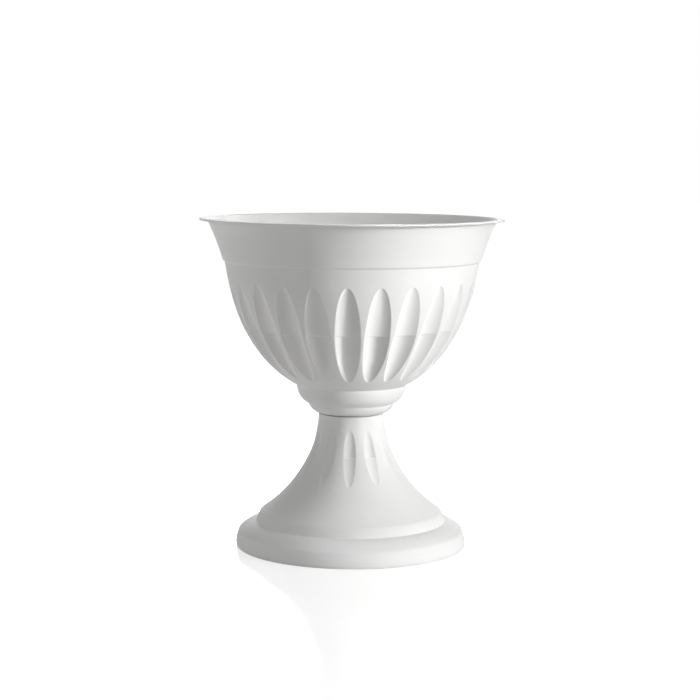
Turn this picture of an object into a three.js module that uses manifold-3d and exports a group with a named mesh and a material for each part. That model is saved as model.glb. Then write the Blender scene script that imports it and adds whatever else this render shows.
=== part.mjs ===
// Urn planter: a fluted bowl that plugs into a fluted pedestal, and a stopper for its drain hole.
// Millimetres, +Z up. The origin is on the ground under the middle of the foot, front towards -Y.

import * as THREE from "three";
import { mergeVertices } from "three/addons/utils/BufferGeometryUtils.js";
import Module from "manifold-3d";

const wasm = await Module();
wasm.setup();

// ---- Driving dimensions ----

const WALL = 2.6; // thickness of the moulded walls
const GAP = 0.3; // clearance between pieces that touch
const SIDES = 48; // flats round every turned face of the mouldings
const PLUG_SIDES = 24;

const RIM_R = 215; // outer radius of the rim flange
const RIM_Z = 466; // top of the rim flange, the height of the urn
const LIP = 2.8; // thickness of the flange at its edge
const THROAT_R = 202.4; // outside of the wall where it meets the flange
const STEP_R = 182; // lower edge of the flared band
const STEP_Z = 407;
const STEP_IN = 2.4; // how far the belly stands back under the band
const RING_1_R = 77.8; // upper foot ring, where the belly ends
const RING_1_Z = 230.5;
const RING_2_R = 60.8; // lower foot ring, at its top
const RING_2_Z = 204.4;
const NECK_R = 46.5; // both mouldings at the parting line
const PART_Z = 190.5; // underside of the bowl's foot
const FLOOR_Z = 193.3; // inside floor of the bowl

const DECK_Z = 189; // top of the pedestal
const SEAT_R = 43.6; // ring on which the bowl stands, set back to leave a shadow line
const SPIGOT_R = 28.5;
const SPIGOT_Z = 150; // lower end of the spigot
const SOCKET_R = 29.1; // bore of the socket
const SOCKET_Z = 143; // lower end of the socket
const KEY_W = 4; // locating keys on the spigot
const KEY_R = 30.6;
const KEY_LOW = 156;
const KEY_HIGH = 184;
const KEYS = 4;

const BELL_R = 129.4; // lower edge of the bell
const BELL_Z = 48.6;
const TIER_R = 135; // foot of the riser under the bell
const TIER_Z = 35;
const FOOT_R = 164.6; // widest part of the foot
const FOOT_RING = 6; // width of the flat ring that meets the ground
const RIBS = 6; // stiffening ribs inside the pedestal
const RIB_T = 2.2;

const DRAIN_R = 10; // drain hole
const PLUG_FLANGE_R = 15.5;
const PLUG_FLANGE_T = 2.5;
const PLUG_END_R = 8.6;
const PLUG_LENGTH = 10;
const TAB_W = 15;
const TAB_H = 13;
const TAB_T = 3;
const TAB_HOLE_R = 3.6;

// A flute is an ellipse on the wall, cut deeper on one side of a small ledge at its middle.
const BOWL_FLUTES = {
  count: 24,
  ledge: 313,
  halfHeight: 67.5,
  halfWidth: 17.5,
  above: { deep: 7.6, fade: 1.4 },
  below: { deep: 9.9, fade: 1.4 },
};
const PEDESTAL_FLUTES = {
  count: 12,
  ledge: 132.5,
  halfHeight: 37.5,
  halfWidth: 8.8,
  above: { deep: 2.7, fade: 3 },
  below: { deep: 1.6, fade: 1.4 },
};

// ---- Outlines ----

const at = (r, z) => new THREE.Vector2(r, z);

// Points of a curve from a to d, leaving towards b and arriving from c. The first is left out.
function curve(a, b, c, d, steps) {
  return new THREE.CubicBezierCurve(a, b, c, d).getPoints(steps).slice(1);
}

// Radius of an outline at height z. The outline's heights rise or fall steadily.
function radiusAt(outline, z) {
  for (let i = 1; i < outline.length; i += 1) {
    const [p, q] = [outline[i - 1], outline[i]];
    if ((p.y - z) * (q.y - z) <= 0 && p.y !== q.y) {
      return p.x + ((q.x - p.x) * (z - p.y)) / (q.y - p.y);
    }
  }
  throw new Error(`the outline does not reach height ${z}`);
}

// Heights at which a flute is measured out, from its lower tip to its upper tip.
const TIP_TURNS = [0.06, 0.3, 0.62, 1]; // from a tip to the ledge, as parts of a quarter turn

function fluteHeight(flutes, up, part) {
  return flutes.ledge + up * flutes.halfHeight * Math.cos((part * Math.PI) / 2);
}

function fluteHeights(flutes) {
  const below = TIP_TURNS.map((part) => fluteHeight(flutes, -1, part));
  const above = TIP_TURNS.slice(0, -1).map((part) => fluteHeight(flutes, 1, part));
  return [...below, ...above.reverse()];
}

// Outline of a fluted wall, a curve from low to high with its points at the flutes' heights.
function wallOutline(low, lean1, lean2, high, heights) {
  const fine = [low, ...curve(low, lean1, lean2, high, 60)];
  return [low, ...heights.map((z) => at(radiusAt(fine, z), z)), high];
}

const ringTop = at(RING_1_R, RING_1_Z);
const bellyTop = at(STEP_R - STEP_IN, STEP_Z - 1.5);
const bellyHeights = [RING_1_Z + 6, ...fluteHeights(BOWL_FLUTES)];
const bellyOutline = wallOutline(ringTop, at(150.5, 269), at(171.5, 351), bellyTop, bellyHeights);

const neckTop = at(NECK_R - 0.3, DECK_Z - 0.8);
const bellEdge = at(BELL_R, BELL_Z);
const bellHeights = [60, 76, ...fluteHeights(PEDESTAL_FLUTES)];
const bellOutline = wallOutline(bellEdge, at(75.9, 84.2), at(47.8, 140.5), neckTop, bellHeights);

// ---- Solids ----

function geometryOf(positions, triangles) {
  const geometry = new THREE.BufferGeometry();
  geometry.setAttribute("position", new THREE.Float32BufferAttribute(positions, 3));
  geometry.setIndex(triangles);
  return geometry;
}

const MERGE = 1e-4; // points closer than this are one point

// Closed solid from a three.js geometry, with its shared points merged and its faces outwards.
function solid(geometry) {
  const bare = geometry.clone();
  bare.deleteAttribute("normal");
  bare.deleteAttribute("uv");
  const merged = mergeVertices(bare, MERGE);
  const points = merged.attributes.position.array;
  const faces = [];
  let volume = 0;
  for (let i = 0; i < merged.index.count; i += 3) {
    const [a, b, c] = [0, 1, 2].map((k) => merged.index.getX(i + k));
    if (a === b || b === c || c === a) continue;
    const [p, q, r] = [a, b, c].map((v) => new THREE.Vector3().fromArray(points, 3 * v));
    volume += p.dot(q.cross(r));
    faces.push(a, b, c);
  }
  if (volume < 0) faces.reverse();
  const mesh = new wasm.Mesh({
    numProp: 3,
    vertProperties: Float32Array.from(points),
    triVerts: Uint32Array.from(faces),
  });
  return new wasm.Manifold(mesh);
}

// Solid of revolution about Z of a closed outline of (radius, height) points.
function turned(outline, sides = SIDES) {
  const closed = [...outline, outline[0]];
  return solid(new THREE.LatheGeometry(closed, sides).rotateX(Math.PI / 2));
}

function block(width, depth, height, x, y, z) {
  return new THREE.BoxGeometry(width, depth, height).translate(x, y, z);
}

// Flat plate of thickness t in the plane through the Z axis, from a (radius, height) outline.
function plate(outline, t) {
  const options = { depth: t, bevelEnabled: false };
  const geometry = new THREE.ExtrudeGeometry(new THREE.Shape(outline), options);
  return geometry.translate(0, 0, -t / 2).rotateX(Math.PI / 2);
}

// Solids of a geometry turned about Z, count in a full circle.
function aroundAxis(geometry, count, firstDegrees = 0) {
  const turns = Array.from({ length: count }, (_, i) => firstDegrees + (360 * i) / count);
  return turns.map((turn) => solid(geometry.clone().rotateZ(THREE.MathUtils.degToRad(turn))));
}

function joined(shape, others) {
  return others.reduce((sum, other) => sum.add(other), shape);
}

function cut(shape, others) {
  return others.reduce((rest, other) => rest.subtract(other), shape);
}

// ---- Flutes ----

// Closed shape between an inner and an outer surface over an arc centred on -Y, one pair of rows
// per station. The columns are places across the arc, from -1 to 1.
function wedge(stations, columns) {
  const positions = [];
  const triangles = [];
  const spans = columns.length - 1;
  const row = 2 * columns.length;
  for (const { z, halfAngle, inner, outer } of stations) {
    for (const surface of [inner, outer]) {
      for (const across of columns) {
        const radius = surface(across);
        const angle = halfAngle * across;
        positions.push(radius * Math.sin(angle), -radius * Math.cos(angle), z);
      }
    }
  }
  const quad = (a, b, c, d) => triangles.push(a, b, c, a, c, d);
  const inward = (s, i) => s * row + i;
  const outward = (s, i) => s * row + columns.length + i;
  const last = stations.length - 1;
  for (let i = 0; i < spans; i += 1) {
    quad(inward(0, i), inward(0, i + 1), outward(0, i + 1), outward(0, i));
    quad(inward(last, i + 1), inward(last, i), outward(last, i), outward(last, i + 1));
    for (let s = 0; s < last; s += 1) {
      quad(inward(s, i), inward(s + 1, i), inward(s + 1, i + 1), inward(s, i + 1));
      quad(outward(s, i + 1), outward(s + 1, i + 1), outward(s + 1, i), outward(s, i));
    }
  }
  for (let s = 0; s < last; s += 1) {
    quad(inward(s, 0), outward(s, 0), outward(s + 1, 0), inward(s + 1, 0));
    quad(outward(s, spans), inward(s, spans), inward(s + 1, spans), outward(s + 1, spans));
  }
  return geometryOf(positions, triangles);
}

// Height, wall radius, half angle and depth of one half of a flute, from the tip to the ledge.
function fluteHalf(flutes, up, outline) {
  const { deep, fade } = up > 0 ? flutes.above : flutes.below;
  return TIP_TURNS.map((part) => {
    const z = fluteHeight(flutes, up, part);
    const wall = radiusAt(outline, z);
    const swell = Math.sin((part * Math.PI) / 2);
    return { z, wall, halfAngle: (flutes.halfWidth * swell) / wall, depth: deep * swell ** fade };
  });
}

// Tool that scoops one half of a flute. It reaches past the wall and the tip to cut cleanly.
function scoop(flutes, up, outline) {
  const proud = 4; // how far the tool stands out of the wall
  const clear = 0.8; // how far its end past the tip stays off the wall
  const overcut = 1.25; // where it leaves the wall, in half widths
  const pastTip = 1.5;
  const pastLedge = 2;
  const half = fluteHalf(flutes, up, outline);
  const stations = half.map(({ z, wall, halfAngle, depth }) => ({
    z,
    halfAngle,
    inner: (across) => wall - depth * (1 - across ** 2),
    outer: () => wall + proud,
  }));
  const tipZ = half[0].z + up * pastTip;
  const tipWall = radiusAt(outline, tipZ);
  const surfaces = { inner: () => tipWall + clear, outer: () => tipWall + proud };
  stations.unshift({ ...stations[0], ...surfaces, z: tipZ });
  const shallower = up > 0 === flutes.above.deep < flutes.below.deep;
  if (shallower) stations.push({ ...stations.at(-1), z: flutes.ledge - up * pastLedge });
  return wedge(stations, [-overcut, -0.5, 0.5, overcut]);
}

// Thickening behind one flute, which keeps the wall's thickness. It is flat along its middle.
function backing(flutes, outline) {
  const skin = 0.6; // depth below the wall's face at which it starts
  const lap = 1.2; // its own edge, within the wall
  const shoulder = 3; // how much wider than the flute it is, on each side
  const above = fluteHalf(flutes, 1, outline);
  const below = fluteHalf(flutes, -1, outline).reverse();
  const deeper = Math.max(above.at(-1).depth, below[0].depth);
  const ledge = { ...below[0], depth: deeper };
  const rows = [...above.slice(0, -1), ledge, ...below.slice(1)];
  const stations = rows.map(({ z, wall, halfAngle, depth }) => ({
    z,
    halfAngle: halfAngle + shoulder / wall,
    inner: (across) => wall - (Math.abs(across) < 1 ? depth + WALL : lap),
    outer: () => wall - skin,
  }));
  return wedge(stations, [-1, -0.5, 0.5, 1]);
}

function fluted(shell, flutes, outline) {
  const backed = joined(shell, aroundAxis(backing(flutes, outline), flutes.count));
  const above = aroundAxis(scoop(flutes, 1, outline), flutes.count);
  const below = aroundAxis(scoop(flutes, -1, outline), flutes.count);
  return cut(backed, [...above, ...below]);
}

// ---- Pieces ----

function bowl() {
  const draft = 0.6; // taper of the spigot over its height
  const stepFoot = at(STEP_R, STEP_Z);
  const throat = at(THROAT_R, RIM_Z - 6);
  const ring2Top = at(RING_2_R, RING_2_Z);
  const footEdge = at(NECK_R, PART_Z);
  const bore = SPIGOT_R - WALL;
  const outside = [
    at(SPIGOT_R - draft, SPIGOT_Z),
    at(SPIGOT_R, DECK_Z + GAP),
    at(SEAT_R - 0.4, DECK_Z + GAP),
    at(SEAT_R, PART_Z),
    footEdge,
    ...curve(footEdge, at(54, 192.3), at(59, 197.5), ring2Top, 3),
    ...curve(ring2Top, at(72, 208.2), at(77, 219), ringTop, 3),
    ...bellyOutline.slice(1),
    stepFoot,
    ...curve(stepFoot, at(189, 429), at(195.8, 447), throat, 3),
    at(THROAT_R + 3, RIM_Z - LIP - 0.6),
    at(RIM_R - 1.4, RIM_Z - LIP),
    at(RIM_R, RIM_Z - LIP / 2),
    at(RIM_R - 1.2, RIM_Z),
  ];
  const insideThroat = at(THROAT_R - WALL, RIM_Z - 6.6);
  const insideStep = at(STEP_R - WALL, STEP_Z);
  const insideBelly = at(STEP_R - STEP_IN - WALL, STEP_Z - 2.4);
  const insideRing1 = at(RING_1_R - WALL, RING_1_Z + 1.6);
  const insideRing2 = at(RING_2_R - WALL, RING_2_Z + 2.4);
  const floorEdge = at(NECK_R + 1, FLOOR_Z);
  const inside = [
    at(THROAT_R + 1.2, RIM_Z),
    insideThroat,
    ...curve(insideThroat, at(193, 445), at(186.2, 428), insideStep, 2),
    insideBelly,
    ...curve(insideBelly, at(168.9, 350), at(149, 271.6), insideRing1, 6),
    ...curve(insideRing1, at(74.6, 220), at(70.5, 210.8), insideRing2, 2),
    ...curve(insideRing2, at(56.6, 199.6), at(53, 195.2), floorEdge, 2),
    at(DRAIN_R, FLOOR_Z),
    at(DRAIN_R, PART_Z),
    at(bore, PART_Z),
    at(bore - draft, SPIGOT_Z),
  ];
  const shell = fluted(turned([...outside, ...inside]), BOWL_FLUTES, bellyOutline);
  const keyRoot = 1.5; // how far a key reaches into the spigot's wall
  const keyDepth = KEY_R - SPIGOT_R + keyRoot;
  const keyHeight = KEY_HIGH - KEY_LOW;
  const keyY = -KEY_R + keyDepth / 2;
  const key = block(KEY_W, keyDepth, keyHeight, 0, keyY, KEY_LOW + keyHeight / 2);
  return joined(shell, aroundAxis(key, KEYS));
}

function rib() {
  const lap = 1.3; // how far it reaches into the bell's wall
  const points = 6;
  const low = 85;
  const high = 183;
  const root = SOCKET_R + 1;
  const heights = Array.from({ length: points }, (_, i) => low + ((high - low) * i) / (points - 1));
  const along = heights.map((z) => at(radiusAt(bellOutline, z) - lap, z));
  return plate([at(root, SOCKET_Z + 3), ...along, at(root, DECK_Z - 2)], RIB_T);
}

function pedestal() {
  const riserFoot = at(TIER_R, TIER_Z);
  const tierEdge = at(160.6, 21.5);
  const outside = [
    at(FOOT_R - 1.4, 0),
    at(FOOT_R, 4),
    at(FOOT_R - 1.3, 12.5),
    tierEdge,
    ...curve(tierEdge, at(155, 28), at(144, 33.8), riserFoot, 3),
    at(TIER_R - 2.6, 42.5),
    ...bellOutline,
    at(NECK_R - 0.9, DECK_Z),
  ];
  const insideNeck = at(NECK_R - 0.3 - WALL, DECK_Z - WALL);
  const insideBell = at(BELL_R - 1.2, BELL_Z - WALL);
  const insideRiser = at(TIER_R - 3.4, TIER_Z - WALL);
  const insideTier = at(158, 20);
  const socketOutside = SOCKET_R + WALL;
  const inside = [
    at(SOCKET_R, DECK_Z),
    at(SOCKET_R, SOCKET_Z),
    at(socketOutside, SOCKET_Z),
    at(socketOutside, DECK_Z - WALL),
    insideNeck,
    ...curve(insideNeck, at(45.2, 139.6), at(73.9, 82.2), insideBell, 6),
    insideRiser,
    ...curve(insideRiser, at(143, 31), at(153, 26.5), insideTier, 2),
    at(FOOT_R - 3.9, 12),
    at(FOOT_R - 3, 4),
    at(FOOT_R - FOOT_RING, 3),
    at(FOOT_R - 1.4 - FOOT_RING, 0),
  ];
  const shell = fluted(turned([...outside, ...inside]), PEDESTAL_FLUTES, bellOutline);
  const firstRib = 180 / PEDESTAL_FLUTES.count;
  const ribbed = joined(shell, aroundAxis(rib(), RIBS, firstRib));
  const overcut = 1; // how far a keyway's tool reaches past the deck and into the bore
  const wayLow = KEY_LOW - 4;
  const wayHeight = DECK_Z + overcut - wayLow;
  const wayDepth = WALL + 2.4;
  const wayY = -SOCKET_R - wayDepth / 2 + overcut;
  const keyway = block(KEY_W + 1, wayDepth, wayHeight, 0, wayY, wayLow + wayHeight / 2);
  return cut(ribbed, aroundAxis(keyway, KEYS));
}

function drainPlug() {
  const seat = FLOOR_Z + GAP;
  const flangeTop = seat + PLUG_FLANGE_T;
  const outline = [
    at(0, seat - PLUG_LENGTH),
    at(PLUG_END_R - 1.2, seat - PLUG_LENGTH),
    at(PLUG_END_R, seat - PLUG_LENGTH + 1.2),
    at(DRAIN_R - GAP, seat),
    at(PLUG_FLANGE_R, seat),
    at(PLUG_FLANGE_R, flangeTop - 1),
    at(PLUG_FLANGE_R - 1, flangeTop),
    at(0, flangeTop),
  ];
  const body = turned(outline, PLUG_SIDES);
  const half = TAB_W / 2;
  const root = -1; // the tab reaches down into the flange
  const shape = new THREE.Shape();
  shape.moveTo(-half, root);
  shape.lineTo(half, root);
  shape.lineTo(half, TAB_H - half);
  shape.absarc(0, TAB_H - half, half, 0, Math.PI, false);
  const hole = new THREE.Path().absarc(0, TAB_H - half, TAB_HOLE_R, 0, 2 * Math.PI, true);
  shape.holes.push(hole);
  const options = { depth: TAB_T, bevelEnabled: false, curveSegments: 8 };
  const tab = new THREE.ExtrudeGeometry(shape, options).translate(0, 0, -TAB_T / 2);
  return body.add(solid(tab.rotateX(Math.PI / 2).translate(0, 0, flangeTop)));
}

// ---- Assembly ----

function piece(name, shape, material) {
  const { vertProperties, triVerts } = shape.getMesh();
  const mesh = new THREE.Mesh(geometryOf(Array.from(vertProperties), Array.from(triVerts)), material);
  mesh.name = name;
  return mesh;
}

function whitePlastic() {
  return new THREE.MeshStandardMaterial({ color: 0xecebe9, roughness: 0.42, metalness: 0 });
}

function softStopper() {
  return new THREE.MeshStandardMaterial({ color: 0xd4d3cf, roughness: 0.6, metalness: 0 });
}

const urn = new THREE.Group();
urn.name = "urn_planter";
urn.add(piece("pedestal", pedestal(), whitePlastic()));
urn.add(piece("bowl", bowl(), whitePlastic()));
urn.add(piece("drain_plug", drainPlug(), softStopper()));

export default urn;
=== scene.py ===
"""A white plastic garden urn: a fluted bowl that plugs into a fluted pedestal, and its stopper.

Settings are in metres. Outlines are written as (radius, height) in millimetres, the way the urn
is drawn, and are scaled once, when a point is placed. Flutes are centred on -Y, the front.
"""

import math
from typing import NamedTuple

import bmesh
import bpy
from bpy.props import FloatProperty, FloatVectorProperty, IntProperty, PointerProperty
from bpy.types import Operator, Panel, PropertyGroup
from mathutils import Matrix, Vector
from mathutils.geometry import interpolate_bezier


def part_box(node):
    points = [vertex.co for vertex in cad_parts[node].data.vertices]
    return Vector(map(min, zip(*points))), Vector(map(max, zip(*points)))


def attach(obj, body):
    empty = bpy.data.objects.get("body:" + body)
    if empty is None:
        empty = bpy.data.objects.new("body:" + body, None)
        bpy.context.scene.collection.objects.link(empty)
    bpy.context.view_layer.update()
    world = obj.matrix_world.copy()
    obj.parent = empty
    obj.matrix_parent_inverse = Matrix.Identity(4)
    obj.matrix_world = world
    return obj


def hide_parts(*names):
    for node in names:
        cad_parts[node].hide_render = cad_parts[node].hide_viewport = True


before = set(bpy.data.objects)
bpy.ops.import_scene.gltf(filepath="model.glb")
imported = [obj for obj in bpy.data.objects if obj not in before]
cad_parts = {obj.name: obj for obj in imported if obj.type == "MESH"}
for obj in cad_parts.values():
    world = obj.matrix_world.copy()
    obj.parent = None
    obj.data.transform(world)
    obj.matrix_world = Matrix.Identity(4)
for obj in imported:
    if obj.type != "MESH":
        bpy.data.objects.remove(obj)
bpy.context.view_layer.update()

bl_info = {
    "name": "Fluted garden urn",
    "version": (1, 0, 0),
    "blender": (4, 5, 0),
    "location": "3D View > Sidebar > Urn",
    "description": "Models a white plastic garden urn with a fluted bowl and pedestal",
    "category": "Add Mesh",
}

MM = 0.001
BOWL_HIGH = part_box("bowl")[1]
PEDESTAL_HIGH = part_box("pedestal")[1]
PLUG_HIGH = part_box("drain_plug")[1]
MERGE = 2e-6  # points closer than this are one point, in metres
NEAR = 0.02 * MM  # how close a point is to the spot it was drawn for
SMOOTH_ANGLE = math.radians(38)
FLUTE_ROWS = 13  # rows from a flute's tip to its ledge

# Outlines, in millimetres: what more than one piece or surface shares.
SPIGOT_TIP, SPIGOT_ROOT = (27.9, 150), (28.5, 189.3)
SOCKET_RADIUS, SOCKET_FOOT = 29.1, 143
PARTING_HEIGHT = 190.5  # underside of the bowl's floor, at the dark line above the pedestal
PLUG_SEAT = 193.6  # underside of the stopper's flange, just above the bowl's floor
DRAIN_RADIUS = 10
BELL = ((129.4, 48.6), (75.9, 84.2), (47.8, 140.5), (46.2, 188.2))  # a curve, from low to high

# The stage: where lamps stand and look, and what the floor and the surround show.
LIT_HEIGHT = 0.27  # the height that every lamp looks at
KEY_DISTANCE, SOFT_DISTANCE = 2.6, 2.8
SOFT_SIZE = (1.4, 1.4)
STRIP_BEAM = math.radians(24)
STRIP_PASSING = 0.3  # how far beside the urn's middle the strip lamp looks
WIDE_TURN = math.radians(53)  # middle of the wide soft light, from the front towards +X
WIDE_FALLOFF = 4.0  # power of the cosine that fades it away from there
FLOOR_SIZE, FLOOR_DROP = 30, 0.0002


# ---- Settings ----


def length(name, description, default):
    return FloatProperty(
        name=name, description=description, default=default, min=0.0,
        subtype="DISTANCE", unit="LENGTH",
    )


def amount(name, description, default, top=1.0):
    return FloatProperty(name=name, description=description, default=default, min=0.0, max=top)


def colour(name, description, default):
    return FloatVectorProperty(
        name=name, description=description, default=default, subtype="COLOR", min=0.0, max=1.0
    )


def watts(name, description, default):
    return FloatProperty(name=name, description=description, default=default, min=0.0, unit="POWER")


def angle(name, description, degrees):
    return FloatProperty(
        name=name, description=description, default=math.radians(degrees),
        subtype="ANGLE", unit="ROTATION",
    )


class BowlSettings(PropertyGroup):
    rim_radius: length("Rim radius", "Outer radius of the flat rim flange", BOWL_HIGH.x)
    rim_height: length("Rim height", "Height of the top of the rim flange", BOWL_HIGH.z)
    lip: length("Lip", "Thickness of the rim flange", 0.0028)
    wall: length("Wall", "Thickness of the moulded wall", 0.0026)
    flutes: IntProperty(name="Flutes", description="Flutes round the belly", default=24, min=3)
    flute_width: length("Flute half width", "Half the width of a flute at its ledge", 0.0175)
    flute_reach: length("Flute reach", "From the ledge to either tip of a flute", 0.0675)
    flute_ledge: length("Flute ledge", "Height of the small ledge across each flute", 0.313)
    depth_above: length("Depth above", "Depth of a flute just above its ledge", 0.0072)
    depth_below: length("Depth below", "Depth of a flute just below its ledge", 0.0106)


class PedestalSettings(PropertyGroup):
    foot_radius: length("Foot radius", "Widest radius of the foot", PEDESTAL_HIGH.x)
    deck_height: length("Deck height", "Height of the pedestal's top", PEDESTAL_HIGH.z)
    wall: length("Wall", "Thickness of the moulded wall", 0.0026)
    flutes: IntProperty(name="Flutes", description="Flutes round the bell", default=12, min=3)
    flute_width: length("Flute half width", "Half the width of a flute at its ledge", 0.0088)
    flute_reach: length("Flute reach", "From the ledge to either tip of a flute", 0.0375)
    flute_ledge: length("Flute ledge", "Height of the small ledge across each flute", 0.1325)
    depth_above: length("Depth above", "Depth of a flute just above its ledge", 0.0034)
    depth_below: length("Depth below", "Depth of a flute just below its ledge", 0.0022)
    ribs: IntProperty(name="Ribs", description="Stiffening ribs inside the bell", default=6, min=0)


class StopperSettings(PropertyGroup):
    flange_radius: length("Flange radius", "Radius of the stopper's flange", PLUG_HIGH.x)
    flange_thickness: length("Flange thickness", "Thickness of the flange", 0.0025)
    tab_width: length("Tab width", "Width of the pull tab", 0.015)
    tab_thickness: length("Tab thickness", "Thickness of the pull tab", 0.003)


class FinishSettings(PropertyGroup):
    plastic: colour("Plastic", "Colour of the moulded white plastic", (0.84, 0.84, 0.84))
    plastic_shade: colour("Plastic shade", "Duller tone that clouds the plastic", (0.8, 0.8, 0.8))
    plastic_roughness: amount("Plastic roughness", "Roughness of the satin finish", 0.42)
    grain: length("Grain", "Size of the fine grain in the plastic", 0.0009)
    stopper: colour("Stopper", "Colour of the soft stopper", (0.62, 0.61, 0.59))
    stopper_roughness: amount("Stopper roughness", "Roughness of the soft stopper", 0.62)


class StageSettings(PropertyGroup):
    camera_turn: angle("Camera turn", "Turn of the camera round the urn, from the front", 2.0)
    camera_pitch: angle("Camera pitch", "How far the camera looks down", 6.53)
    camera_roll: angle("Camera roll", "Turn of the camera about its own view", 0.31)
    camera_distance: length("Camera distance", "From the camera to the urn's axis", 2.5)
    camera_height: length("Camera height", "Height of the camera", 0.565)
    camera_side: length("Camera side", "How far the camera stands to the left", 0.0022)
    lens: FloatProperty(
        name="Lens", description="Focal length of the camera", default=91.08, min=1.0, unit="CAMERA"
    )
    key: watts("Key lamp", "Power of the small hard key lamp, on the right", 8.2)
    near: watts("Near lamp", "Power of the small lamp between the key lamp and the camera", 4.0)
    strip: watts("Strip lamp", "Power of the tall strip lamp with a narrow beam, on the right", 1.8)
    left: watts("Left lamp", "Power of the soft lamp on the left", 15.0)
    top: watts("Top lamp", "Power of the soft lamp above the urn", 16.0)
    back: watts("Back lamp", "Power of the soft lamp behind the urn", 50.0)
    surround: amount("Surround", "Strength of the wide soft light from front right", 0.715, 20.0)


# ---- Outlines ----


class Spot(NamedTuple):
    """A point of an outline in millimetres, with the flute that crosses the wall there, if any."""

    radius: float
    height: float
    soft: float = 0.0  # how far the rounding of this corner reaches along its sides
    width: float = 0.0  # half width of the flute
    depth: float = 0.0  # depth of the flute's middle
    edge: float = 0.0  # half length of the rounding of the flute's edge


class Flute(NamedTuple):
    """A flute: an ellipse on the wall, cut deeper on one side of a small ledge at its middle."""

    width: float
    reach: float
    ledge: float
    above: float
    below: float
    fade_above: float
    fade_below: float


def between(start, lean, lean_back, end, steps):
    """The points of a curve between its ends, which are left out."""
    ends = [Vector((*point, 0.0)) for point in (start, lean, lean_back, end)]
    return [Spot(p.x, p.y) for p in interpolate_bezier(*ends, steps + 1)[1:-1]]


def radius_at(outline, height):
    """Radius of an outline at a height. The outline rises or falls steadily."""
    for a, b in zip(outline, outline[1:]):
        if (a.height - height) * (b.height - height) <= 0 and a.height != b.height:
            return a.radius + (b.radius - a.radius) * (height - a.height) / (b.height - a.height)
    raise ValueError(f"the outline does not reach height {height}")


def fine_curve(start, lean, lean_back, end):
    """A curve with its ends, in steps small enough to read a radius from."""
    return [Spot(*start), *between(start, lean, lean_back, end, 80), Spot(*end)]


def fluted_wall(curve, flute, plain, spread, edge, ledge_rise):
    """Rows of a curved wall from low to high, at its plain heights and at those of its flutes.

    spread widens the flute by that much on each side, as the back of a wall needs, and
    ledge_rise is the height over which the ledge steps in.
    """
    rows = [Spot(radius_at(curve, height), height) for height in plain]
    for up, deep, fade in ((-1, flute.below, flute.fade_below), (1, flute.above, flute.fade_above)):
        for k in range(FLUTE_ROWS):
            turn = k / FLUTE_ROWS * math.pi / 2
            swell = math.sin(turn)
            height = flute.ledge + up * flute.reach * math.cos(turn)
            width = flute.width * swell + spread * min(1.0, swell * 4)
            row = Spot(radius_at(curve, height), height, 0.0, width, deep * swell**fade, edge)
            rows.append(row if k else row._replace(width=0.0, depth=0.0))
    for k in range(-2, 3):
        height = flute.ledge + k / 2 * ledge_rise
        share = 0.5 + 0.5 * math.sin(k * math.pi / 4)
        depth = flute.below + (flute.above - flute.below) * share
        rows.append(Spot(radius_at(curve, height), height, 0.0, flute.width + spread, depth, edge))
    return sorted(rows, key=lambda row: row.height)


# ---- Modelling by hand ----


def deselect():
    if bpy.context.object and bpy.context.object.mode != "OBJECT":
        bpy.ops.object.mode_set(mode="OBJECT")
    bpy.ops.object.select_all(action="DESELECT")


def pick(piece):
    """Makes a piece the only selected and active object."""
    deselect()
    piece.select_set(True)
    bpy.context.view_layer.objects.active = piece


def name_piece(name):
    piece = bpy.context.object
    piece.name = name
    piece.data.name = name
    return piece


def polar(radius, degrees, height):
    """A point in metres, from millimetres and a turn about Z from +X."""
    turn = math.radians(degrees)
    return Vector((radius * math.cos(turn), radius * math.sin(turn), height)) * MM


def select_points(piece, wanted):
    """In edit mode, selects the points for which wanted(place) is true."""
    bpy.context.tool_settings.mesh_select_mode = (True, False, False)
    bpy.ops.mesh.select_all(action="DESELECT")
    mesh = bmesh.from_edit_mesh(piece.data)
    for point in mesh.verts:
        point.select_set(wanted(point.co))
    mesh.select_flush(True)
    bmesh.update_edit_mesh(piece.data)


def draw_outline(name, spots, degrees):
    """A closed wire through the spots, in the half plane at that turn, drawn point by point."""
    deselect()
    bpy.ops.mesh.primitive_plane_add(size=MM)
    piece = name_piece(name)
    bpy.ops.object.mode_set(mode="EDIT")
    bpy.ops.mesh.select_all(action="SELECT")
    bpy.ops.mesh.merge(type="CENTER")
    places = [polar(spot.radius, degrees, spot.height) for spot in spots]
    bpy.ops.transform.translate(value=places[0])
    for here, there in zip(places, places[1:] + places[:1]):
        bpy.ops.mesh.extrude_region_move(TRANSFORM_OT_translate={"value": there - here})
    bpy.ops.mesh.select_all(action="SELECT")
    bpy.ops.mesh.remove_doubles(threshold=MERGE)
    for size in sorted({spot.soft for spot in spots} - {0.0}):
        corners = [place for place, spot in zip(places, spots) if spot.soft == size]
        select_points(piece, lambda co: any((co - corner).length < NEAR for corner in corners))
        bpy.ops.mesh.bevel(offset=size * MM, segments=3, affect="VERTICES")
    return piece


def draw_plate(name, spots, half):
    """A plate in the XZ plane. Its outline is filled and pulled to a thickness of twice half."""
    piece = draw_outline(name, spots, 0)
    bpy.ops.mesh.select_all(action="SELECT")
    bpy.ops.mesh.edge_face_add()
    bpy.ops.transform.translate(value=(0, -half * MM, 0))
    bpy.ops.mesh.extrude_region_move(TRANSFORM_OT_translate={"value": (0, 2 * half * MM, 0)})
    bpy.ops.mesh.select_all(action="SELECT")
    bpy.ops.mesh.normals_make_consistent(inside=False)
    bpy.ops.object.mode_set(mode="OBJECT")
    return piece


def spin_wire(piece, degrees, steps):
    bpy.ops.mesh.select_all(action="SELECT")
    bpy.ops.mesh.spin(steps=steps, angle=math.radians(degrees), center=(0, 0, 0), axis=(0, 0, 1))


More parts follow.
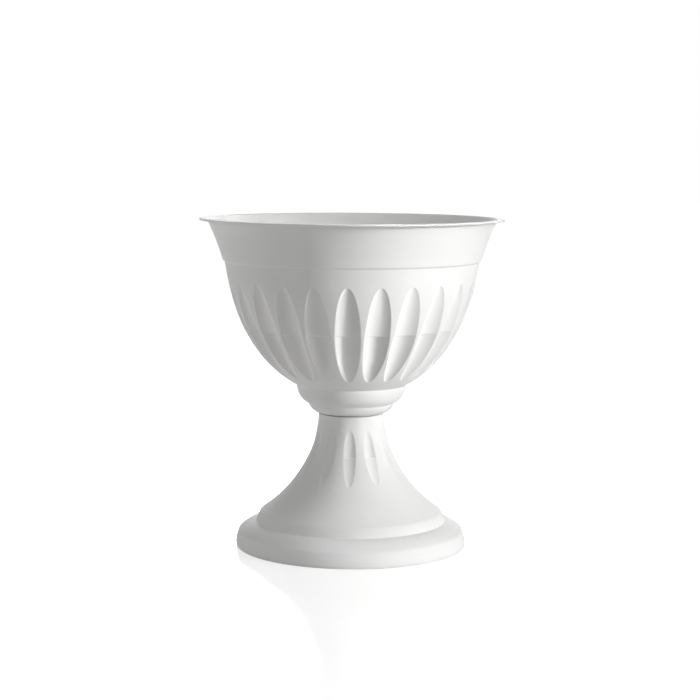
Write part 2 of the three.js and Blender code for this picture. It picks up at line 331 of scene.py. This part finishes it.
def close_ring(piece, count):
    """Copies one sector round the axis, count in a full circle, and joins the copies."""
    bpy.ops.mesh.select_all(action="SELECT")
    around = 2 * math.pi * (count - 1) / count
    bpy.ops.mesh.spin(steps=count - 1, dupli=True, angle=around, center=(0, 0, 0), axis=(0, 0, 1))
    bpy.ops.mesh.select_all(action="SELECT")
    bpy.ops.mesh.remove_doubles(threshold=MERGE)
    bpy.ops.mesh.normals_make_consistent(inside=False)
    bpy.ops.object.mode_set(mode="OBJECT")


def across_wall(spot, column, inner, outer, half_arc):
    """Where a column stands on a fluted row: its distance from the flute's middle and its depth.

    The first inner columns lie in the flute, crowded towards its edge, and the others on the
    ridge beside it. Without a flute the inner columns all meet in the middle.
    """
    edge = min(spot.edge, 0.25 * spot.width)
    if column <= inner:
        offset = spot.width * math.sin(column / inner * math.pi / 2)
    else:
        rest = half_arc - spot.width
        offset = spot.width + rest * (column - inner) / outer
        if column == inner + 1 and edge:
            pull = min(1.0, spot.width / (4 * spot.edge))
            offset += (spot.width + edge - offset) * pull
    beyond = offset - spot.width
    if not spot.depth or beyond >= edge:
        return offset, 0.0
    if beyond > -edge:
        return offset, spot.depth * (edge - beyond) ** 2 / (2 * edge * spot.width)
    return offset, spot.depth * (1 - (offset / spot.width) ** 2)


def cut_flute(piece, spots, degrees, inner, outer):
    """Moves the points of one spun sector, so that its columns follow the edge of its flute.

    Each point belongs to the fluted row whose radius and height it has, or else to a plain one.
    """
    half = math.radians(degrees) / 2
    step = half / (inner + outer)
    fluted = [spot for spot in spots if spot.width]
    mesh = bmesh.from_edit_mesh(piece.data)
    for point in mesh.verts:
        radius, height = math.hypot(point.co.x, point.co.y) / MM, point.co.z / MM
        turn = math.atan2(point.co.y, point.co.x)
        column = round(abs(turn) / step)
        spot = min(fluted, key=lambda s: abs(s.radius - radius) + abs(s.height - height))
        if abs(spot.radius - radius) + abs(spot.height - height) > NEAR / MM:
            spot = Spot(radius, height)
        offset, depth = across_wall(spot, column, inner, outer, half * radius)
        moved = math.copysign(offset / radius, turn)
        point.co = polar(radius - depth, math.degrees(moved), height)
    bmesh.update_edit_mesh(piece.data)


def fluted_shell(name, spots, count, inner, outer):
    """A turned shell with one flute in each of count sectors. The first is centred on +X."""
    sector = 360 / count
    piece = draw_outline(name, spots, sector / 2)
    spin_wire(piece, sector, 2 * (inner + outer))
    cut_flute(piece, spots, sector, inner, outer)
    close_ring(piece, count)
    return piece


def add_box(name, low, high):
    """A box between two corners in millimetres."""
    deselect()
    middle = (Vector(low) + Vector(high)) / 2 * MM
    bpy.ops.mesh.primitive_cube_add(size=1, location=middle)
    piece = name_piece(name)
    bpy.ops.object.mode_set(mode="EDIT")
    bpy.ops.transform.resize(value=(Vector(high) - Vector(low)) * MM)
    bpy.ops.object.mode_set(mode="OBJECT")
    bpy.ops.object.transform_apply(location=True, rotation=False, scale=False)
    return piece


def round_edges(piece, size):
    """Bevels every edge of a small tool."""
    pick(piece)
    bpy.ops.object.mode_set(mode="EDIT")
    bpy.ops.mesh.select_all(action="SELECT")
    bpy.ops.mesh.bevel(offset=size * MM, segments=2, affect="EDGES")
    bpy.ops.object.mode_set(mode="OBJECT")


def repeat_round(piece, count, first_degrees=0.0):
    """Turns a tool about Z to its first place, then copies it round, count in a full circle."""
    pick(piece)
    bpy.ops.object.mode_set(mode="EDIT")
    bpy.ops.mesh.select_all(action="SELECT")
    mesh = bmesh.from_edit_mesh(piece.data)
    turn = Matrix.Rotation(math.radians(first_degrees), 3, "Z")
    bmesh.ops.rotate(mesh, verts=mesh.verts, cent=(0, 0, 0), matrix=turn)
    bmesh.update_edit_mesh(piece.data)
    around = 2 * math.pi * (count - 1) / count
    bpy.ops.mesh.spin(steps=count - 1, dupli=True, angle=around, center=(0, 0, 0), axis=(0, 0, 1))
    bpy.ops.mesh.select_all(action="SELECT")
    bpy.ops.mesh.normals_make_consistent(inside=False)
    bpy.ops.object.mode_set(mode="OBJECT")


def combine(piece, tool, operation):
    """Joins a tool to a piece, or cuts it out, and removes the tool."""
    pick(piece)
    modifier = piece.modifiers.new("combine", "BOOLEAN")
    modifier.operation = operation
    modifier.solver = "EXACT"
    modifier.object = tool
    bpy.ops.object.modifier_apply(modifier=modifier.name)
    bpy.data.objects.remove(tool)


def settle(piece, node, slot):
    """Gives a finished piece its smooth shading, its material and its place in the assembly.

    Each CAD node of the urn has a body of its own, with the same name.
    """
    pick(piece)
    bpy.ops.object.shade_smooth_by_angle(angle=SMOOTH_ANGLE)
    weighted = piece.modifiers.new("flat faces", "WEIGHTED_NORMAL")
    weighted.keep_sharp = True
    bpy.ops.object.modifier_apply(modifier=weighted.name)
    piece.data.materials.clear()
    piece.data.materials.append(finish_of(slot))
    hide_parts(node)
    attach(piece, node)


# ---- Materials ----


class Graph:
    """Short calls that add and link the nodes of one material or of the surround."""

    def __init__(self, tree, material=None):
        self.tree = tree
        self.material = material
        tree.nodes.clear()

    @classmethod
    def for_material(cls, name):
        material = bpy.data.materials.new(name)
        material.use_nodes = True
        return cls(material.node_tree, material)

    def node(self, kind, inputs=None, **settings):
        made = self.tree.nodes.new(kind)
        for key, value in settings.items():
            setattr(made, key, value)
        for key, value in (inputs or {}).items():
            if isinstance(value, bpy.types.NodeSocket):
                self.tree.links.new(value, made.inputs[key])
            else:
                made.inputs[key].default_value = value
        return made

    def noise(self, place, scale, detail=2.0, rough=0.5):
        inputs = {"Vector": place, "Scale": scale, "Detail": detail, "Roughness": rough}
        return self.node("ShaderNodeTexNoise", inputs).outputs["Fac"]

    def spread(self, value, low, high, to_low=0.0, to_high=1.0):
        ends = {"From Min": low, "From Max": high, "To Min": to_low, "To Max": to_high}
        inputs = {"Value": value, **ends}
        return self.node("ShaderNodeMapRange", inputs).outputs["Result"]

    def times(self, a, b):
        return self.node("ShaderNodeMath", {0: a, 1: b}, operation="MULTIPLY").outputs[0]

    def larger(self, a, b):
        return self.node("ShaderNodeMath", {0: a, 1: b}, operation="MAXIMUM").outputs[0]

    def vector(self, operation, a, b=(0, 0, 0)):
        return self.node("ShaderNodeVectorMath", {0: a, 1: b}, operation=operation)

    def blend(self, factor, a, b):
        made = self.node("ShaderNodeMix", data_type="RGBA")
        for socket, value in ((made.inputs[0], factor), (made.inputs[6], a), (made.inputs[7], b)):
            if isinstance(value, bpy.types.NodeSocket):
                self.tree.links.new(value, socket)
            else:
                socket.default_value = value
        return made.outputs[2]

    def bump(self, height, strength, distance, normal=None):
        inputs = {"Height": height, "Strength": strength, "Distance": distance}
        if normal:
            inputs["Normal"] = normal
        return self.node("ShaderNodeBump", inputs).outputs["Normal"]

    def finish(self, shader):
        output = self.node("ShaderNodeOutputMaterial")
        self.tree.links.new(shader, output.inputs["Surface"])
        return self.material


def moulded_plastic(finish):
    """Satin white plastic: clouded tone, fine grain, slow waves from moulding, scuffed low edge."""
    graph = Graph.for_material("white_plastic")
    place = graph.node("ShaderNodeTexCoord").outputs["Object"]
    height = graph.node("ShaderNodeSeparateXYZ", {"Vector": place}).outputs["Z"]
    clouds = graph.spread(graph.noise(place, 9.0, 3.0), 0.35, 0.7)
    specks = graph.spread(graph.noise(place, 420.0, 2.0), 0.66, 0.72)
    smears = graph.spread(graph.noise(place, 60.0, 4.0, 0.65), 0.52, 0.72)
    low = graph.spread(height, 0.014, 0.0)
    scuffs = graph.times(smears, low)
    tone = graph.blend(graph.times(clouds, 0.45), (*finish.plastic, 1), (*finish.plastic_shade, 1))
    tone = graph.blend(graph.times(specks, 0.05), tone, (0.52, 0.52, 0.52, 1))
    tone = graph.blend(graph.times(scuffs, 0.35), tone, (0.45, 0.45, 0.45, 1))
    middle = finish.plastic_roughness
    gloss = graph.spread(graph.noise(place, 35.0, 3.0), 0.3, 0.7, middle - 0.05, middle + 0.05)
    waves = graph.bump(graph.noise(place, 16.0, 1.0), 0.12, 0.0016)
    grain = graph.bump(graph.noise(place, 1 / finish.grain, 2.0, 0.6), 0.16, 0.00006, waves)
    inputs = {"Base Color": tone, "Roughness": gloss, "Normal": grain, "IOR": 1.49}
    return graph.finish(graph.node("ShaderNodeBsdfPrincipled", inputs).outputs["BSDF"])


def soft_stopper(finish):
    """Matte grey rubbery plastic with a dusty bloom and a fine skin."""
    graph = Graph.for_material("stopper")
    place = graph.node("ShaderNodeTexCoord").outputs["Object"]
    bloom = graph.spread(graph.noise(place, 160.0, 4.0, 0.6), 0.4, 0.7)
    tone = graph.blend(graph.times(bloom, 0.35), (*finish.stopper, 1), (0.70, 0.69, 0.67, 1))
    middle = finish.stopper_roughness
    gloss = graph.spread(graph.noise(place, 300.0, 2.0), 0.3, 0.7, middle - 0.07, middle + 0.07)
    skin = graph.bump(graph.noise(place, 2500.0, 3.0), 0.2, 0.00008)
    inputs = {"Base Color": tone, "Roughness": gloss, "Normal": skin, "IOR": 1.45}
    return graph.finish(graph.node("ShaderNodeBsdfPrincipled", inputs).outputs["BSDF"])


def finish_of(slot):
    """The material of a slot, made when it is first asked for, and named after the slot."""
    makers = {"white_plastic": moulded_plastic, "stopper": soft_stopper}
    return bpy.data.materials.get(slot) or makers[slot](bpy.context.scene.urn_finish)


# ---- Pieces ----


class URN_OT_bowl(Operator):
    """Model the bowl: one moulding from the rim flange down to the spigot"""

    bl_idname = "urn.bowl"
    bl_label = "Bowl"

    def execute(self, context):
        s = context.scene.urn_bowl
        piece = fluted_shell("urn_bowl", bowl_outline(s), s.flutes, 8, 4)
        key = add_box("bowl_keys", (-2, -30.6, 156), (2, -27, 184))
        round_edges(key, 0.5)
        repeat_round(key, 4)
        combine(piece, key, "UNION")
        settle(piece, "bowl", "white_plastic")
        return {"FINISHED"}


def bowl_outline(s):
    """Section of the bowl: up its outside, over the rim and down its inside."""
    rim, top, lip, wall = s.rim_radius / MM, s.rim_height / MM, s.lip / MM, s.wall / MM
    flute = Flute(
        s.flute_width / MM, s.flute_reach / MM, s.flute_ledge / MM, s.depth_above / MM,
        s.depth_below / MM, 1.4, 1.4,
    )
    foot, floor, seat = (46.5, PARTING_HEIGHT), 193.3, SPIGOT_ROOT[1]
    ring2, ring1 = (60.8, 204.4), (77.8, 230.5)
    belly, step, throat = (179.6, 405.5), (182, 407), (202.4, 460)
    in_throat, in_step, in_belly = (199.8, 459.4), (step[0] - wall, 407), (belly[0] - wall, 404.6)
    in_ring1, in_ring2, in_floor = (ring1[0] - wall, 232.1), (ring2[0] - wall, 206.8), (47.5, floor)
    low, high = flute.ledge - flute.reach, flute.ledge + flute.reach
    plain = [low - 10, low - 5, high + 8, high + 16]
    face = fine_curve(ring1, (150.5, 269), (171.5, 351), belly)
    back = fine_curve(in_ring1, (149, 271.6), (168.9, 350), in_belly)
    outside = fluted_wall(face, flute, plain, spread=0.0, edge=0.6, ledge_rise=0.7)
    inside = fluted_wall(back, flute, plain, spread=1.9, edge=0.0, ledge_rise=5.0)
    return [
        Spot(*SPIGOT_TIP, 0.5),
        Spot(*SPIGOT_ROOT, 0.6),
        Spot(41.2, seat, 0.3),
        Spot(41.6, PARTING_HEIGHT, 0.25),
        Spot(*foot, 0.35),
        *between(foot, (54, 192.3), (59, 197.5), ring2, 8),
        Spot(*ring2, 0.5),
        *between(ring2, (72, 208.2), (77, 219), ring1, 10),
        Spot(*ring1, 0.6),
        *outside,
        Spot(*belly, 0.9),
        Spot(*step, 1.1),
        *between(step, (189, 429), (195.8, 447), throat, 8),
        Spot(203.6, top - lip, 2.0),
        Spot(rim, top - lip, 1.1),
        Spot(rim, top, 1.1),
        Spot(203.8, top, 1.8),
        Spot(*in_throat, 2.5),
        *between(in_throat, (193, 445), (186.2, 428), in_step, 6),
        Spot(*in_step, 0.8),
        Spot(*in_belly, 0.8),
        *reversed(inside),
        Spot(*in_ring1, 1.2),
        *between(in_ring1, (74.6, 220), (70.5, 210.8), in_ring2, 7),
        Spot(*in_ring2, 1.0),
        *between(in_ring2, (56.6, 199.6), (53, 195.2), in_floor, 5),
        Spot(*in_floor, 1.0),
        Spot(DRAIN_RADIUS, floor, 0.7),
        Spot(DRAIN_RADIUS, PARTING_HEIGHT, 0.5),
        Spot(SPIGOT_ROOT[0] - wall, PARTING_HEIGHT, 1.0),
        Spot(SPIGOT_TIP[0] - wall, SPIGOT_TIP[1], 0.5),
    ]


class URN_OT_pedestal(Operator):
    """Model the pedestal: foot, fluted bell, deck and socket in one moulding, with its ribs"""

    bl_idname = "urn.pedestal"
    bl_label = "Pedestal"

    def execute(self, context):
        s = context.scene.urn_pedestal
        spots = pedestal_outline(s)
        piece = fluted_shell("urn_pedestal", spots, s.flutes, 8, 8)
        ribs = pedestal_rib(s)
        repeat_round(ribs, s.ribs, 15.0)
        combine(piece, ribs, "UNION")
        keyways = add_box("pedestal_keyways", (-2.5, -33.1, 152), (2.5, -28.1, 190))
        repeat_round(keyways, 4)
        combine(piece, keyways, "DIFFERENCE")
        settle(piece, "pedestal", "white_plastic")
        return {"FINISHED"}


def pedestal_outline(s):
    """Section of the pedestal: up its outside, over the deck and down its inside."""
    foot, deck, wall = s.foot_radius / MM, s.deck_height / MM, s.wall / MM
    flute = Flute(
        s.flute_width / MM, s.flute_reach / MM, s.flute_ledge / MM, s.depth_above / MM,
        s.depth_below / MM, 2.4, 1.4,
    )
    tier, riser = (160.6, 21.5), (135, 35)
    in_neck, in_bell, in_riser, in_tier = (43.3, deck - wall), (128.2, 46), (131.6, 32.4), (158, 20)
    plain = [52, 56, 61, 67, 74, 82, 89, 175, 181]
    back = fine_curve(in_bell, (73.9, 82.2), (45.2, 139.6), in_neck)
    outside = fluted_wall(fine_curve(*BELL), flute, plain, spread=0.0, edge=0.5, ledge_rise=0.6)
    inside = fluted_wall(back, flute, plain, spread=1.9, edge=0.0, ledge_rise=4.0)
    return [
        Spot(foot - 1.4, 0, 0.6),
        Spot(foot, 4, 1.5),
        Spot(foot - 1.3, 12.5, 1.5),
        Spot(*tier, 1.4),
        *between(tier, (155, 28), (144, 33.8), riser, 8),
        Spot(*riser, 0.9),
        Spot(132.4, 42.5, 1.2),
        Spot(*BELL[0], 1.5),
        *outside,
        Spot(BELL[3][0], deck, 0.7),
        Spot(SOCKET_RADIUS, deck, 0.4),
        Spot(SOCKET_RADIUS, SOCKET_FOOT, 0.4),
        Spot(SOCKET_RADIUS + wall, SOCKET_FOOT, 0.4),
        Spot(SOCKET_RADIUS + wall, deck - wall, 1.0),
        Spot(*in_neck, 1.0),
        *reversed(inside),
        Spot(*in_bell, 1.0),
        Spot(*in_riser, 1.0),
        *between(in_riser, (143, 31), (153, 26.5), in_tier, 6),
        Spot(*in_tier, 1.0),
        Spot(foot - 3.9, 12),
        Spot(foot - 3.0, 4, 0.8),
        Spot(foot - 6, 3, 0.6),
        Spot(foot - 7.4, 0, 0.5),
    ]


def pedestal_rib(s):
    """One upright rib between the socket and the bell, its edges just inside their walls."""
    half, lap, low, high, root = 1.1, 1.3, 85, 183, SOCKET_RADIUS + 1
    curve = fine_curve(*BELL)
    heights = [low + (high - low) * k / 8 for k in range(9)]
    edge = [Spot(radius_at(curve, height) - lap, height) for height in heights]
    top, bottom = Spot(root, s.deck_height / MM - 2), Spot(root, SOCKET_FOOT + 3)
    return draw_plate("pedestal_ribs", [bottom, *edge, top], half)


class URN_OT_stopper(Operator):
    """Model the soft push-in stopper of the drain hole, with its pull tab"""

    bl_idname = "urn.stopper"
    bl_label = "Stopper"

    def execute(self, context):
        s = context.scene.urn_stopper
        piece = draw_outline("urn_stopper", stopper_outline(s), 0)
        spin_wire(piece, 360, 96)
        bpy.ops.mesh.select_all(action="SELECT")
        bpy.ops.mesh.remove_doubles(threshold=MERGE)
        bpy.ops.mesh.normals_make_consistent(inside=False)
        bpy.ops.object.mode_set(mode="OBJECT")
        combine(piece, stopper_tab(s), "UNION")
        settle(piece, "drain_plug", "stopper")
        return {"FINISHED"}


def stopper_outline(s):
    """Half section of the stopper's barrel and flange, closed along the axis."""
    tip, neck = (8.6, PLUG_SEAT - 10), (DRAIN_RADIUS - 0.3, PLUG_SEAT)
    flange, top = s.flange_radius / MM, PLUG_SEAT + s.flange_thickness / MM
    return [
        Spot(0, tip[1]),
        Spot(*tip, 1.2),
        Spot(*neck, 0.4),
        Spot(flange, PLUG_SEAT, 0.5),
        Spot(flange, top, 0.9),
        Spot(0, top),
    ]


def stopper_tab(s):
    """The pull tab: a plate with a round top and a hole, softened all over."""
    half, thick, hole_radius, rise = s.tab_width / MM / 2, s.tab_thickness / MM, 3.6, 13
    top = PLUG_SEAT + s.flange_thickness / MM
    centre, foot, arc = top + rise - half, top - 1, 36
    turns = [k / arc * math.pi for k in range(arc + 1)]
    round_top = [Spot(half * math.cos(t), centre + half * math.sin(t)) for t in turns]
    tab = draw_plate("stopper_tab", [Spot(half, foot), *round_top, Spot(-half, foot)], thick / 2)
    deselect()
    bpy.ops.mesh.primitive_cylinder_add(
        vertices=64, radius=hole_radius * MM, depth=2 * thick * MM, location=(0, 0, centre * MM),
        rotation=(math.pi / 2, 0, 0),
    )
    hole = name_piece("tab_hole")
    bpy.ops.object.transform_apply(location=True, rotation=True, scale=True)
    combine(tab, hole, "DIFFERENCE")
    soft = tab.modifiers.new("soft edges", "BEVEL")
    soft.width = 0.7 * MM
    soft.segments = 3
    soft.limit_method = "ANGLE"
    soft.angle_limit = math.radians(40)
    bpy.ops.object.modifier_apply(modifier=soft.name)
    return tab


# ---- Stage ----


def studio_white(s):
    """Plain white to the camera and in gloss, and a wide soft light from the front right."""
    world = bpy.data.worlds.new("studio")
    bpy.context.scene.world = world
    world.use_nodes = True
    graph = Graph(world.node_tree)
    path = graph.node("ShaderNodeLightPath").outputs
    either = graph.larger(path["Is Camera Ray"], path["Is Glossy Ray"])
    seen = graph.larger(either, path["Is Transmission Ray"])
    towards = graph.node("ShaderNodeTexCoord").outputs["Generated"]
    level = graph.vector("MULTIPLY", towards, (1, 1, 0)).outputs["Vector"]
    level = graph.vector("NORMALIZE", level).outputs["Vector"]
    facing = graph.vector("DOT_PRODUCT", level, (math.sin(WIDE_TURN), -math.cos(WIDE_TURN), 0))
    ahead = graph.larger(facing.outputs["Value"], 0.0)
    lobe = graph.node("ShaderNodeMath", {0: ahead, 1: WIDE_FALLOFF}, operation="POWER").outputs[0]
    light = graph.times(lobe, s.surround)
    strength = graph.spread(seen, 0.0, 1.0, light, 1.0)
    shade = graph.node("ShaderNodeBackground", {"Color": (1, 1, 1, 1), "Strength": strength})
    output = graph.node("ShaderNodeOutputWorld")
    graph.tree.links.new(shade.outputs[0], output.inputs["Surface"])


def floor_finish():
    """Glossy white sheet, seen from above only, with a soft shadow and a faint mirror image.

    Both fade away from the urn. Other light meets a plain pale sheet that glows a little, so that
    the urn's hollow underside is lit as by a bright room.
    """
    graph = Graph.for_material("floor")
    path = graph.node("ShaderNodeLightPath").outputs
    place = graph.node("ShaderNodeTexCoord").outputs["Object"]
    away = graph.vector("LENGTH", place).outputs["Value"]
    mirror = graph.spread(away, 0.3, 1.1, 0.27, 0.0)
    glow = graph.spread(away, 0.3, 1.6, 0.90, 1.0)
    sheet = graph.node("ShaderNodeBsdfDiffuse", {"Color": (0.3, 0.3, 0.3, 1)}).outputs[0]
    glow = graph.node("ShaderNodeEmission", {"Color": (1, 1, 1, 1), "Strength": glow}).outputs[0]
    lit = graph.node("ShaderNodeAddShader", {0: sheet, 1: glow}).outputs[0]
    smooth = {"Color": (1, 1, 1, 1), "Roughness": 0.06}
    gloss = graph.node("ShaderNodeBsdfGlossy", smooth).outputs[0]
    shown = graph.node("ShaderNodeMixShader", {0: mirror, 1: lit, 2: gloss}).outputs[0]
    bounce = graph.node("ShaderNodeBsdfDiffuse", {"Color": (0.6, 0.6, 0.6, 1)}).outputs[0]
    fill = graph.node("ShaderNodeEmission", {"Color": (1, 1, 1, 1), "Strength": 0.12}).outputs[0]
    bounce = graph.node("ShaderNodeAddShader", {0: bounce, 1: fill}).outputs[0]
    seen = graph.larger(path["Is Camera Ray"], path["Is Glossy Ray"])
    top = graph.node("ShaderNodeMixShader", {0: seen, 1: bounce, 2: shown}).outputs[0]
    clear = graph.node("ShaderNodeBsdfTransparent").outputs[0]
    behind = graph.node("ShaderNodeNewGeometry").outputs["Backfacing"]
    return graph.finish(graph.node("ShaderNodeMixShader", {0: behind, 1: top, 2: clear}).outputs[0])


def around_urn(turn, rise):
    """The direction from the urn at a turn from the front, towards +X, and a rise, in degrees."""
    a, e = math.radians(turn), math.radians(rise)
    return Vector((math.sin(a) * math.cos(e), -math.cos(a) * math.cos(e), math.sin(e)))


def add_lamp(name, turn, rise, distance, size, power, passing=0.0):
    """A rectangular lamp that looks at the urn's middle, or that far beside it, to the front."""
    data = bpy.data.lights.new(name, "AREA")
    data.shape = "RECTANGLE"
    data.size, data.size_y = size
    data.energy = power
    lamp = bpy.data.objects.new(name, data)
    bpy.context.scene.collection.objects.link(lamp)
    middle = Vector((0, 0, LIT_HEIGHT))
    lamp.location = middle + around_urn(turn, rise) * distance
    aim = middle + around_urn(turn - 90, 0) * passing
    lamp.rotation_mode = "QUATERNION"
    lamp.rotation_quaternion = (aim - lamp.location).to_track_quat("-Z", "Y")
    return lamp


def add_camera(s):
    data = bpy.data.cameras.new("camera")
    data.lens = s.lens
    data.sensor_width = 36.0
    camera = bpy.data.objects.new("camera", data)
    bpy.context.scene.collection.objects.link(camera)
    turn, roll = Matrix.Rotation(s.camera_turn, 4, "Z"), Matrix.Rotation(s.camera_roll, 4, "Z")
    pitch = Matrix.Rotation(math.pi / 2 - s.camera_pitch, 4, "X")
    stand = Matrix.Translation((-s.camera_side, -s.camera_distance, s.camera_height))
    camera.matrix_world = turn @ stand @ (pitch @ roll)
    bpy.context.scene.camera = camera


class URN_OT_stage(Operator):
    """Set up the floor, the studio light and the camera"""

    bl_idname = "urn.stage"
    bl_label = "Stage"

    def execute(self, context):
        s = context.scene.urn_stage
        deselect()
        bpy.ops.mesh.primitive_plane_add(size=FLOOR_SIZE, location=(0, 0, -FLOOR_DROP))
        floor = name_piece("floor")
        floor.data.materials.append(floor_finish())
        studio_white(s)
        add_lamp("key", 69.0, 18.0, KEY_DISTANCE, (0.16, 0.3), s.key)
        add_lamp("near", 51.0, 17.0, KEY_DISTANCE, (0.2, 0.4), s.near)
        strip = add_lamp("strip", 67.0, 12.0, KEY_DISTANCE, (0.2, 1.0), s.strip, STRIP_PASSING)
        strip.data.spread = STRIP_BEAM
        add_lamp("left", -85.0, 13.0, SOFT_DISTANCE, SOFT_SIZE, s.left)
        add_lamp("top", 0.0, 80.0, SOFT_DISTANCE, SOFT_SIZE, s.top)
        add_lamp("back", 180.0, 15.0, SOFT_DISTANCE, SOFT_SIZE, s.back)
        add_camera(s)
        context.scene.view_settings.view_transform = "Standard"
        return {"FINISHED"}


class URN_PT_sidebar(Panel):
    """Lists the pieces of the urn and its stage"""

    bl_label = "Garden urn"
    bl_idname = "URN_PT_sidebar"
    bl_space_type = "VIEW_3D"
    bl_region_type = "UI"
    bl_category = "Urn"

    def draw(self, context):
        for step in STEPS:
            self.layout.operator(step.bl_idname)
        for group in SETTINGS:
            settings = getattr(context.scene, group)
            box = self.layout.box()
            for name in settings.bl_rna.properties.keys():
                if name not in ("rna_type", "name"):
                    box.prop(settings, name)


SETTINGS = {
    "urn_pedestal": PedestalSettings,
    "urn_bowl": BowlSettings,
    "urn_stopper": StopperSettings,
    "urn_finish": FinishSettings,
    "urn_stage": StageSettings,
}
STEPS = (URN_OT_pedestal, URN_OT_bowl, URN_OT_stopper, URN_OT_stage)
CLASSES = (*SETTINGS.values(), *STEPS, URN_PT_sidebar)


def register():
    for item in CLASSES:
        bpy.utils.register_class(item)
    for name, group in SETTINGS.items():
        setattr(bpy.types.Scene, name, PointerProperty(type=group))


def unregister():
    for name in SETTINGS:
        delattr(bpy.types.Scene, name)
    for item in reversed(CLASSES):
        bpy.utils.unregister_class(item)


def main():
    register()
    bpy.ops.urn.pedestal()
    bpy.ops.urn.bowl()
    bpy.ops.urn.stopper()
    bpy.ops.urn.stage()


if __name__ == "__main__":
    main()
